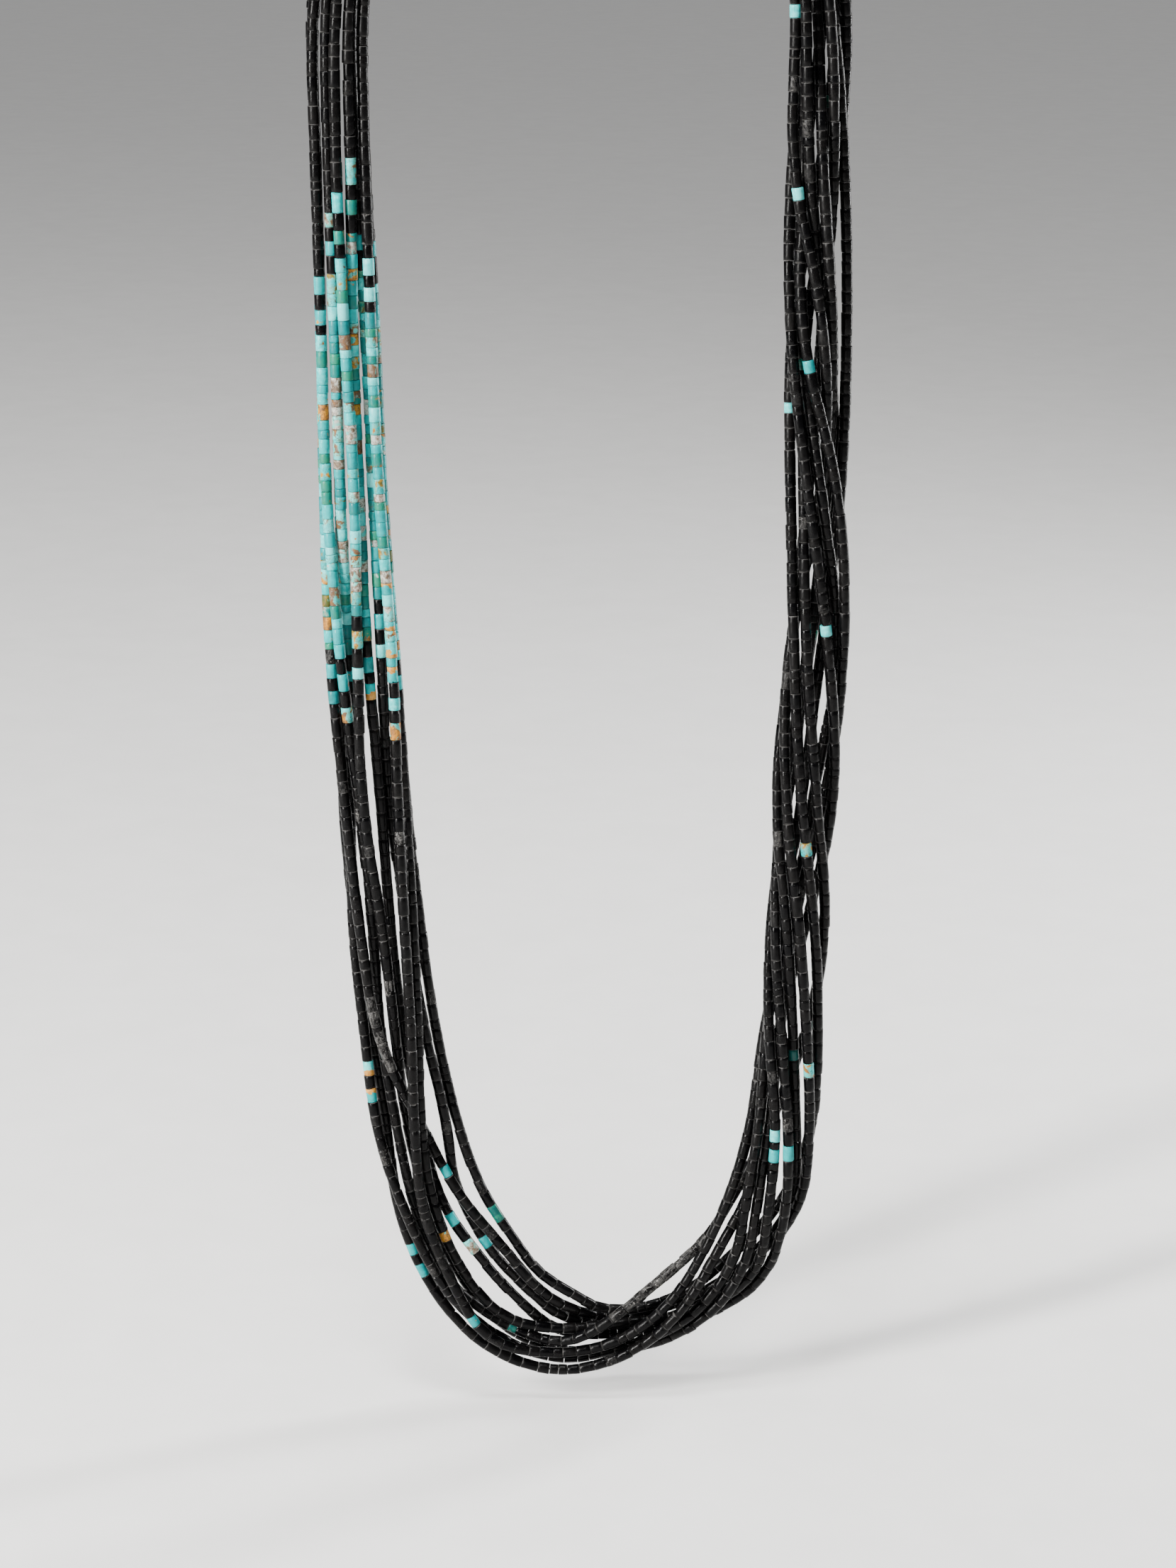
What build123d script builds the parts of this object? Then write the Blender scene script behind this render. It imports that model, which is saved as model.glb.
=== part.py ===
from build123d import *
import os
from math import asin, cos, hypot, radians, sin, sqrt, tan
from typing import NamedTuple

import numpy as np

# A loose necklace of ten strands of fine drilled tube beads, jet with one long stretch of turquoise on
# its left side, hanging in a long loop from one plain clasp. Millimetres and degrees.
# X is to the right, +Y is away from the front, +Z is up, and the origin is under the middle of the
# clasp, where the necklace lies on the back of the neck.

# The loop that the middle of the bundle follows
loop_half_width = 49.0
leg_drop = 297.6

# The strands
bead_diameter = 2.5
strand_gap = 0.3
colour_joint_gap = 0.15
parting_gap = 0.15

# The clasp: a short barrel between two cones that cover the ends of the strands
barrel_diameter = 6.0
barrel_length = 12.0
groove_width = 0.5
groove_depth = 0.4
cone_length = 13.0
cone_tilt = 22.0
neck_diameter = 4.4
rim_length = 2.8
cup_depth = 2.4
cup_wall = 0.8
cup_clearance = 0.25
end_gap = 0.2
exit_run = 11.0

# The shape of the path: the share of a run that a corner's arc takes, how far each point stands out
# beyond the place the rounded path passes, and the tightest bend allowed
corner_share = 0.45
corner_lead = 0.25
least_radius_in_diameters = 4.0

# The box that cuts one leg's strands, wide enough for that leg and no more
leg_box_width = 88.0

strand_pitch = bead_diameter + strand_gap
strand_radius = bead_diameter / 2

# How the strands are packed in the cups: three, four and three, in pitches out and deep
CUP_PACK_LEFT_OUT = (1.0, 1.0, 1.5, 0.5, 0.0, -1.0, -1.5, -1.0, -0.5, 0.0)
CUP_PACK_LEFT_DEEP = (-0.87, 0.87, 0.0, 0.0, -0.87, -0.87, 0.0, 0.87, 0.0, 0.87)
CUP_PACK_RIGHT_OUT = (0.5, -1.0, -1.0, 1.5, -1.5, -0.5, 0.0, 0.0, 1.0, 1.0)
CUP_PACK_RIGHT_DEEP = (0.0, 0.87, -0.87, 0.0, 0.0, 0.0, 0.87, -0.87, -0.87, 0.87)


class Section(NamedTuple):
    """One section through the bundle, and where each of the ten strands lies in it."""
    name: str
    across: float    # of loop_half_width, to the right of the middle
    down: float      # of leg_drop, below the top of the legs
    out: tuple       # pitches outwards from the bundle's middle, a value for each strand
    deep: tuple      # pitches away from the front


SECTIONS = [
    Section("left_01", -1.000, 0.000,
            (1.0, 1.0, 1.9, 1.6, 0.2, -0.7, -1.7, -1.5, -1.1, -1.3),
            (-0.6, 1.2, 0.6, -0.4, -1.4, -1.2, -0.6, 0.5, -0.1, 1.4)),
    Section("left_02", -1.004, 0.111,
            (1.1, 0.9, 1.9, 1.7, 0.2, -0.7, -1.7, -1.5, -1.2, -1.3),
            (-0.6, 1.2, 0.6, -0.4, -1.4, -1.2, -0.7, 0.5, -0.1, 1.4)),
    Section("left_03", -1.000, 0.225,
            (0.9, 0.9, 1.9, 1.7, -0.1, -0.8, -1.9, -1.9, -1.4, -1.6),
            (-0.8, 1.2, 0.5, -0.6, -1.4, -0.6, -1.0, 0.4, -0.1, 1.3)),
    Section("left_04", -0.976, 0.341,
            (1.1, 1.2, 2.3, 2.0, -0.1, -0.7, -1.8, -2.0, -1.3, -1.6),
            (-0.8, 1.2, 0.4, -0.7, -1.5, -0.3, -1.2, 0.3, -0.6, 1.2)),
    Section("left_05", -0.951, 0.461,
            (1.2, 1.7, 2.4, 1.8, 0.3, -0.5, -2.2, -2.4, -1.4, -2.1),
            (0.4, 1.4, 0.0, -0.8, -1.5, -0.8, -1.2, 0.2, -0.7, 1.2)),
    Section("left_06", -0.920, 0.568,
            (1.8, 2.4, 2.0, 1.3, 0.7, -0.7, -2.0, -2.5, -1.1, -2.4),
            (0.7, 1.4, -0.6, -0.2, -1.5, -0.4, -1.4, 0.2, 0.3, 1.2)),
    Section("left_07", -0.869, 0.666,
            (2.7, 2.6, 2.0, 1.1, 0.3, -0.3, -1.5, -2.1, -1.7, -2.4),
            (0.6, 1.5, -0.9, -0.4, -1.3, 0.2, -1.6, -0.4, 0.5, 0.6)),
    Section("left_08", -0.822, 0.750,
            (2.7, 2.2, 1.4, 1.4, 0.4, -0.3, -1.1, -1.6, -2.2, -2.6),
            (0.0, 1.0, -1.2, 0.2, -1.0, 0.6, -1.7, -0.7, 0.2, 0.6)),
    Section("left_09", -0.761, 0.823,
            (2.9, 2.1, -0.4, 1.3, 0.7, -0.4, -0.2, -0.6, -2.6, -3.2),
            (-0.5, 0.4, 0.6, 0.0, 0.5, 1.4, -1.8, -0.9, -0.2, 0.4)),
    Section("left_10", -0.673, 0.886,
            (2.3, 2.9, -2.2, 1.6, 0.7, -0.5, 0.8, 0.0, -1.8, -3.8),
            (-1.2, -0.2, -0.3, -0.3, 0.4, 0.0, -1.8, -1.0, 0.7, 0.2)),
    Section("bottom_01", -0.537, 0.941,
            (1.9, 2.8, -3.6, 1.9, 1.0, -1.6, 1.1, 0.1, -2.5, -4.6),
            (-1.2, -0.3, -0.3, 0.0, 0.2, -0.4, -1.8, -1.0, 0.2, 0.1)),
    Section("bottom_02", -0.341, 0.979,
            (2.1, 2.7, -3.3, 1.2, 1.8, -1.5, 2.1, 0.4, -2.5, -4.2),
            (0.2, -0.8, -0.3, 0.0, 1.1, -0.2, -1.7, -0.7, 0.5, 0.3)),
    Section("bottom_03", -0.096, 1.000,
            (1.8, 2.4, -2.3, 0.0, 1.6, -0.5, 0.9, -0.7, -1.4, -4.0),
            (-0.2, -1.2, 0.4, -0.9, 0.8, 0.8, -0.9, -0.3, 0.4, 0.2)),
    Section("bottom_04", 0.167, 0.993,
            (1.5, 1.9, -0.3, -1.4, 2.2, 0.6, 0.6, -0.4, 0.7, -1.4),
            (-0.2, -1.2, 1.1, -1.4, 0.7, 0.3, -1.1, 0.1, 1.5, 0.6)),
    Section("bottom_05", 0.414, 0.965,
            (2.1, 1.1, 1.7, -1.7, 3.0, 3.4, 0.2, 2.5, 2.7, 0.8),
            (-1.0, -1.5, 1.2, -0.6, -0.3, 0.7, -1.4, 0.5, 1.5, 0.7)),
    Section("bottom_06", 0.624, 0.927,
            (1.3, 0.2, 3.3, -1.1, 2.5, 4.3, -0.8, 3.7, 3.0, 2.0),
            (-0.4, -1.2, 0.7, 0.2, -0.8, 0.8, -0.8, -0.3, 1.7, 1.1)),
    Section("bottom_07", 0.778, 0.880,
            (-0.6, 0.3, 3.8, -0.7, 0.6, 2.9, -1.5, 1.5, 3.7, 3.6),
            (-0.9, 0.0, 0.3, 1.0, -1.0, -0.4, -0.4, -1.3, 0.8, 1.2)),
    Section("right_09", 0.902, 0.823,
            (-1.5, -0.8, 2.2, -0.2, -0.7, 0.6, -2.1, -0.3, 1.6, 2.9),
            (-0.7, 0.5, -0.4, 1.4, -0.2, -1.2, 0.2, -1.0, -0.2, 0.8)),
    Section("right_08", 0.965, 0.750,
            (-1.8, -1.0, 0.9, 1.2, -1.3, -1.2, -2.2, -1.7, -0.2, 1.9),
            (0.3, 1.2, -1.0, 1.3, 0.5, -0.9, 0.9, -0.6, -0.6, 0.0)),
    Section("right_07", 0.990, 0.666,
            (-1.4, 0.4, -0.3, 1.9, -0.6, -1.9, -0.6, -2.0, -1.3, 1.0),
            (1.1, 1.5, -1.4, 0.3, 0.8, -0.3, 1.2, 0.4, -0.9, -0.9)),
    Section("right_06", 1.004, 0.568,
            (-0.4, 1.8, -1.7, 0.7, 1.6, -1.8, 0.8, -1.1, -2.0, -0.5),
            (1.3, 0.2, -0.9, -1.1, 1.1, 0.8, 1.4, 1.2, -0.1, -1.4)),
    Section("right_05", 1.018, 0.461,
            (0.9, 1.2, -1.8, -0.5, 2.0, -0.5, 1.8, 0.1, -1.2, -1.4),
            (0.8, -0.9, 0.1, -1.3, 0.0, 0.3, 1.0, 1.3, 1.0, -0.8)),
    Section("right_04", 1.024, 0.341,
            (1.8, -0.4, 0.4, -1.0, 1.1, 0.7, 0.5, 1.6, -0.3, -1.9),
            (0.5, -1.3, 0.0, -0.4, -0.4, 1.1, -1.2, 1.5, 0.8, 0.0)),
    Section("right_03", 1.027, 0.225,
            (1.9, -1.9, 0.1, -1.0, -1.0, 0.5, -1.2, -0.4, 0.4, -2.1),
            (0.6, -0.7, -1.5, 1.2, -0.9, -0.3, 0.1, 0.1, 0.8, 0.5)),
    Section("right_02", 1.016, 0.111,
            (1.6, -1.6, -1.9, 1.3, -0.6, -0.3, -1.0, -1.0, 0.5, 0.0),
            (0.0, 0.6, -0.8, 1.1, 0.4, -1.3, 1.5, -0.6, -0.5, 1.5)),
    Section("right_01", 1.002, 0.000,
            (0.8, -0.5, -1.6, 1.7, -1.2, -0.4, 0.2, -0.9, 0.0, 1.1),
            (0.0, 1.2, -0.6, 0.3, 0.5, -0.1, 1.2, -1.2, -1.0, 1.1)),
]

# Each strand's long turquoise stretch on the left leg, as shares of leg_drop below the top of the legs
TURQUOISE_TOP = (0.188, 0.170, 0.210, 0.231, 0.177, 0.159, 0.215, 0.195, 0.185, 0.160)
TURQUOISE_END = (0.461, 0.450, 0.457, 0.464, 0.433, 0.451, 0.482, 0.465, 0.420, 0.450)

# Where a strand's tube parts between two beads, so that no stretch of it is much longer than the rest:
# on the left leg and on the right one as shares of leg_drop, and once more in the middle of the bottom
LEFT_PARTINGS = (0.68,)
RIGHT_PARTINGS = (0.30, 0.64)

# How the strands are pushed apart: samples on each run, steps ahead and behind that are compared,
# the share of the push that a round makes, and the number of rounds
SAMPLE_PLACES = (-0.5, -0.375, -0.25, -0.125, 0.0, 0.125, 0.25, 0.375)
COMPARED_STEPS = (-4, -3, -2, -1, 0, 1, 2, 3, 4)
PUSH_SHARE = 0.05
PUSH_ROUNDS = 400

# Where the clasp's pieces and the top of the loop come
barrel_height = barrel_diameter / 2
mouth_x = barrel_length / 2 + cone_length * cos(radians(cone_tilt))
mouth_z = barrel_height - cone_length * sin(radians(cone_tilt))
exit_x = mouth_x + exit_run * cos(radians(cone_tilt))
exit_z = mouth_z - exit_run * sin(radians(cone_tilt))
seat_depth = cup_depth - end_gap
seat_x = mouth_x - seat_depth * cos(radians(cone_tilt))
seat_z = mouth_z + seat_depth * sin(radians(cone_tilt))
leg_top_z = exit_z - sqrt(loop_half_width ** 2 - exit_x ** 2)
exit_angle = asin(exit_x / loop_half_width)
shoulder_angle = (exit_angle + radians(90)) / 2
shoulder_x = loop_half_width * sin(shoulder_angle)
shoulder_z = leg_top_z + loop_half_width * cos(shoulder_angle)
pack_reach = max(hypot(out, deep) for out, deep in zip(CUP_PACK_LEFT_OUT, CUP_PACK_LEFT_DEEP))
cup_radius = pack_reach * strand_pitch + strand_radius + cup_clearance
rim_radius = cup_radius + cup_wall


def bundle_table():
    """The middle of the bundle at every section, and the strands' places out and deep, in pitches."""
    first = SECTIONS[0]
    last = SECTIONS[-1]
    left_shoulder_out = [(a + b) / 2 for a, b in zip(CUP_PACK_LEFT_OUT, first.out)]
    left_shoulder_deep = [(a + b) / 2 for a, b in zip(CUP_PACK_LEFT_DEEP, first.deep)]
    right_shoulder_out = [(a + b) / 2 for a, b in zip(CUP_PACK_RIGHT_OUT, last.out)]
    right_shoulder_deep = [(a + b) / 2 for a, b in zip(CUP_PACK_RIGHT_DEEP, last.deep)]
    rows = [
        (-seat_x, seat_z, CUP_PACK_LEFT_OUT, CUP_PACK_LEFT_DEEP),
        (-exit_x, exit_z, CUP_PACK_LEFT_OUT, CUP_PACK_LEFT_DEEP),
        (-shoulder_x, shoulder_z, left_shoulder_out, left_shoulder_deep),
    ]
    for section in SECTIONS:
        x = section.across * loop_half_width
        z = leg_top_z - section.down * leg_drop
        rows.append((x, z, section.out, section.deep))
    rows.append((shoulder_x, shoulder_z, right_shoulder_out, right_shoulder_deep))
    rows.append((exit_x, exit_z, CUP_PACK_RIGHT_OUT, CUP_PACK_RIGHT_DEEP))
    rows.append((seat_x, seat_z, CUP_PACK_RIGHT_OUT, CUP_PACK_RIGHT_DEEP))
    middles = np.array([(x, 0.0, z) for x, z, _, _ in rows])
    out = np.array([row[2] for row in rows])
    deep = np.array([row[3] for row in rows])
    return middles, out, deep


def section_directions(middles):
    """The way along the bundle at every section, and the way outwards across it."""
    along = np.empty_like(middles)
    along[1:-1] = middles[2:] - middles[:-2]
    along[0] = along[1] = middles[1] - middles[0]
    along[-1] = along[-2] = middles[-1] - middles[-2]
    along /= np.linalg.norm(along, axis=1)[:, None]
    outward = np.stack([along[:, 2], np.zeros(len(along)), -along[:, 0]], axis=1)
    return along, outward


def smoothing_shares(count):
    """The share of each point in each sample of the smooth line that cuts inside their corners."""
    rows = []
    for point in range(1, count - 1):
        for place in SAMPLE_PLACES:
            row = np.zeros(count)
            row[point - 1] = (0.5 - place) ** 2 / 2
            row[point] = 0.75 - place ** 2
            row[point + 1] = (0.5 + place) ** 2 / 2
            rows.append(row)
    return np.array(rows)


def push_apart(routes, along):
    """Move strands that lie closer than one pitch apart, across the bundle, until every pair clears."""
    shares = smoothing_shares(len(along))
    strands = len(routes)
    itself = np.eye(strands)[:, :, None] * 2 * strand_pitch
    for _ in range(PUSH_ROUNDS):
        samples = shares @ routes
        push = np.zeros_like(samples)
        for step in COMPARED_STEPS:
            others = np.roll(samples, step, axis=1)
            apart = samples[:, None] - others[None, :]
            distance = np.linalg.norm(apart, axis=-1) + itself
            lack = np.clip(strand_pitch - distance, 0, None)
            push += (apart * (lack / distance)[..., None]).sum(axis=1)
        move = shares.T @ push * PUSH_SHARE
        move -= (move * along).sum(axis=-1, keepdims=True) * along
        routes[:, 2:-2] += move[:, 2:-2]
    return routes


def strand_routes():
    """The points of each strand, from the left cup down the left leg and up to the right cup."""
    middles, out, deep = bundle_table()
    along, outward = section_directions(middles)
    into = np.array([0.0, 1.0, 0.0])
    routes = np.array([
        middles + strand_pitch * (out[:, n, None] * outward + deep[:, n, None] * into)
        for n in range(out.shape[1])
    ])
    neighbours = (routes[:, 1:-3] + routes[:, 3:-1]) / 2
    routes[:, 2:-2] += corner_lead * (routes[:, 2:-2] - neighbours)
    return push_apart(routes, along)


def corner_radii(points):
    """An arc for each corner, as large as its two runs allow."""
    radii = []
    for before, point, after in zip(points, points[1:], points[2:]):
        arriving = Vector(*point) - Vector(*before)
        leaving = Vector(*after) - Vector(*point)
        turn = radians(arriving.get_angle(leaving))
        shorter = min(arriving.length, leaving.length)
        radii.append(corner_share * shorter / tan(turn / 2))
    return radii


def strand_tube(points):
    """One strand's round section swept along its whole route."""
    with BuildPart() as tube:
        with BuildLine() as path:
            FilletPolyline(*points, radius=corner_radii(points))
        with BuildSketch(Plane(origin=path.line @ 0, z_dir=path.line % 0)):
            Circle(strand_radius)
        sweep()
    return tube.part


def add_leg_box(side, top, end, mode):
    """A box round one leg between two heights, clear of everything else."""
    with Locations((side * loop_half_width, 0, (top + end) / 2)):
        Box(leg_box_width, leg_box_width, top - end, mode=mode)


def part_strand():
    """Take thin slices out of a strand's tube, between beads of the same colour."""
    for side, partings in ((-1, LEFT_PARTINGS), (1, RIGHT_PARTINGS)):
        for share in partings:
            height = leg_top_z - share * leg_drop
            add_leg_box(side, height + parting_gap / 2, height - parting_gap / 2, Mode.SUBTRACT)
    with Locations((0, 0, leg_top_z - leg_drop)):
        Box(parting_gap, leg_box_width, loop_half_width, mode=Mode.SUBTRACT)


os.makedirs("parts", exist_ok=True)

# Strands: a tube in jet, left open for its turquoise stretch, and a tube that fills the opening
routes = strand_routes()
for number, route in enumerate(routes, start=1):
    points = [tuple(point) for point in route]
    top = leg_top_z - TURQUOISE_TOP[number - 1] * leg_drop
    end = leg_top_z - TURQUOISE_END[number - 1] * leg_drop

    tube = strand_tube(points)

    with BuildPart() as jet:
        add(tube)
        add_leg_box(-1, top + colour_joint_gap, end - colour_joint_gap, Mode.SUBTRACT)
        part_strand()
    jet.part.label = f"strand_{number:02d}_jet"
    export_step(jet.part, f"parts/{jet.part.label}.step")

    with BuildPart() as turquoise:
        add(tube)
        add_leg_box(-1, top, end, Mode.INTERSECT)
    turquoise.part.label = f"strand_{number:02d}_turquoise"
    export_step(turquoise.part, f"parts/{turquoise.part.label}.step")

    radii = corner_radii(points)
    print(f"strand {number:02d}: radii", " ".join(f"{radius:.0f}" for radius in radii))
    if min(radii) < least_radius_in_diameters * bead_diameter:
        print(f"strand {number:02d}: a bend is tighter than {least_radius_in_diameters} diameters")

# Clasp: one solid, a grooved barrel and two cones with cups for the strands' ends
with BuildPart() as clasp:
    with BuildSketch(Plane.YZ.offset(-barrel_length / 2)):
        with Locations((0, barrel_height)):
            Circle(barrel_diameter / 2)
    extrude(amount=barrel_length)
    with BuildSketch(Plane.YZ.offset(-groove_width / 2)):
        with Locations((0, barrel_height)):
            Circle(barrel_diameter / 2)
            Circle(barrel_diameter / 2 - groove_depth, mode=Mode.SUBTRACT)
    extrude(amount=groove_width, mode=Mode.SUBTRACT)
    cone_start = Vector(barrel_length / 2, 0, barrel_height)
    cone_way = Vector(cos(radians(cone_tilt)), 0, -sin(radians(cone_tilt)))
    with BuildSketch(Plane(origin=cone_start, x_dir=cone_way, z_dir=(0, -1, 0))):
        with BuildLine():
            Polyline(
                (cone_length - rim_length, rim_radius),
                (cone_length, rim_radius),
                (cone_length, cup_radius),
                (cone_length - cup_depth, cup_radius),
                (cone_length - cup_depth, 0),
                (-neck_diameter / 2, 0),
                (-neck_diameter / 2, neck_diameter / 2),
                (0, neck_diameter / 2),
            )
            TangentArc((0, neck_diameter / 2), (cone_length - rim_length, rim_radius), tangent=(1, 0))
        make_face()
    revolve(axis=Axis(cone_start, cone_way))
    mirror(about=Plane.YZ)
clasp.part.label = "clasp"
export_step(clasp.part, "parts/clasp.step")
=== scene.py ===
import math
import random
from typing import NamedTuple

import bpy
import numpy as np
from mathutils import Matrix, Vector


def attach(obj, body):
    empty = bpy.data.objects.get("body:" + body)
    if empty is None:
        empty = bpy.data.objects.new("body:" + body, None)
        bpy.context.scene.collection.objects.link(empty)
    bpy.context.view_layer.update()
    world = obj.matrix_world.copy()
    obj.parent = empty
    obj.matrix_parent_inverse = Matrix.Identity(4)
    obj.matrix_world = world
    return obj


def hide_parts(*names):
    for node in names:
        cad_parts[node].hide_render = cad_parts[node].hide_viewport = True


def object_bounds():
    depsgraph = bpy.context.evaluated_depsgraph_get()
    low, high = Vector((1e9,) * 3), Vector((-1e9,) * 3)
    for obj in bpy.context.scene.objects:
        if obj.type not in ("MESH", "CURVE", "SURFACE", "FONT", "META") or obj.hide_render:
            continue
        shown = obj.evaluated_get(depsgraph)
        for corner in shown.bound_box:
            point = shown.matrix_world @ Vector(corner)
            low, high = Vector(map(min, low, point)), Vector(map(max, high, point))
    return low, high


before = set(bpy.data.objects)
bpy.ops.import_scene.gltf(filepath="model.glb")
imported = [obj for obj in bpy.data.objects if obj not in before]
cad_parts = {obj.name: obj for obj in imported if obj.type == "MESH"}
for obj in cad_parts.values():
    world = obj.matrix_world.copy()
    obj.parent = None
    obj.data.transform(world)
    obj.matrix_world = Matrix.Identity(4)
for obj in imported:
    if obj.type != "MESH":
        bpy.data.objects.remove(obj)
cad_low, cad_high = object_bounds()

# A loose necklace of ten strands of fine tube beads on a plain barrel clasp. The necklace's own sizes are in
# millimetres, as in the part's source, and MM turns them into metres. The camera, the floor and the lights
# are in metres.
MM = 0.001

# The photograph's frame, and where its camera stands
PHOTO_WIDTH = 1659
PHOTO_HEIGHT = 2212
CAMERA_AT = Vector((0.0017, -0.748, 0.00739))
CAMERA_DOWN = math.radians(16.4)
FOCAL_PIXELS = 5066.0
SENSOR_MM = 36.0
NEAREST_SEEN = 0.01
FARTHEST_SEEN = 50.0


def add_camera():
    """The camera at the photograph's viewing angle. Its sensor is measured along the picture's height."""
    data = bpy.data.cameras.new("camera")
    data.sensor_width = SENSOR_MM
    data.lens = FOCAL_PIXELS / PHOTO_HEIGHT * SENSOR_MM
    data.clip_start = NEAREST_SEEN
    data.clip_end = FARTHEST_SEEN
    camera = bpy.data.objects.new("camera", data)
    camera.location = CAMERA_AT
    camera.rotation_euler = (math.radians(90) - CAMERA_DOWN, 0, 0)
    bpy.context.scene.collection.objects.link(camera)
    bpy.context.scene.camera = camera


add_camera()


def photo_pixels(points):
    """Where points in metres come in the photograph, in its pixels, across and down."""
    away = points - np.array(CAMERA_AT)
    depth = away[:, 1] * math.cos(CAMERA_DOWN) - away[:, 2] * math.sin(CAMERA_DOWN)
    down = -away[:, 2] * math.cos(CAMERA_DOWN) - away[:, 1] * math.sin(CAMERA_DOWN)
    across = PHOTO_WIDTH / 2 + FOCAL_PIXELS * away[:, 0] / depth
    return np.stack([across, PHOTO_HEIGHT / 2 + FOCAL_PIXELS * down / depth], axis=1)


# The strands' routes: the same sizes, sections and steps as in the part's source
loop_half_width = 49.0
leg_drop = 297.6
bead_diameter = 2.5
strand_gap = 0.3
barrel_diameter = 6.0
barrel_length = 12.0
cone_length = 13.0
cone_tilt = math.radians(22.0)
cup_depth = 2.4
end_gap = 0.2
exit_run = 11.0
corner_lead = 0.25
strand_pitch = bead_diameter + strand_gap

# How the strands are packed in the cups: three, four and three, in pitches out and deep
CUP_PACK_LEFT_OUT = (1.0, 1.0, 1.5, 0.5, 0.0, -1.0, -1.5, -1.0, -0.5, 0.0)
CUP_PACK_LEFT_DEEP = (-0.87, 0.87, 0.0, 0.0, -0.87, -0.87, 0.0, 0.87, 0.0, 0.87)
CUP_PACK_RIGHT_OUT = (0.5, -1.0, -1.0, 1.5, -1.5, -0.5, 0.0, 0.0, 1.0, 1.0)
CUP_PACK_RIGHT_DEEP = (0.0, 0.87, -0.87, 0.0, 0.0, 0.0, 0.87, -0.87, -0.87, 0.87)


class Section(NamedTuple):
    """One section through the bundle, and where each of the ten strands lies in it."""
    name: str
    across: float    # of loop_half_width, to the right of the middle
    down: float      # of leg_drop, below the top of the legs
    out: tuple       # pitches outwards from the bundle's middle, a value for each strand
    deep: tuple      # pitches away from the front


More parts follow.
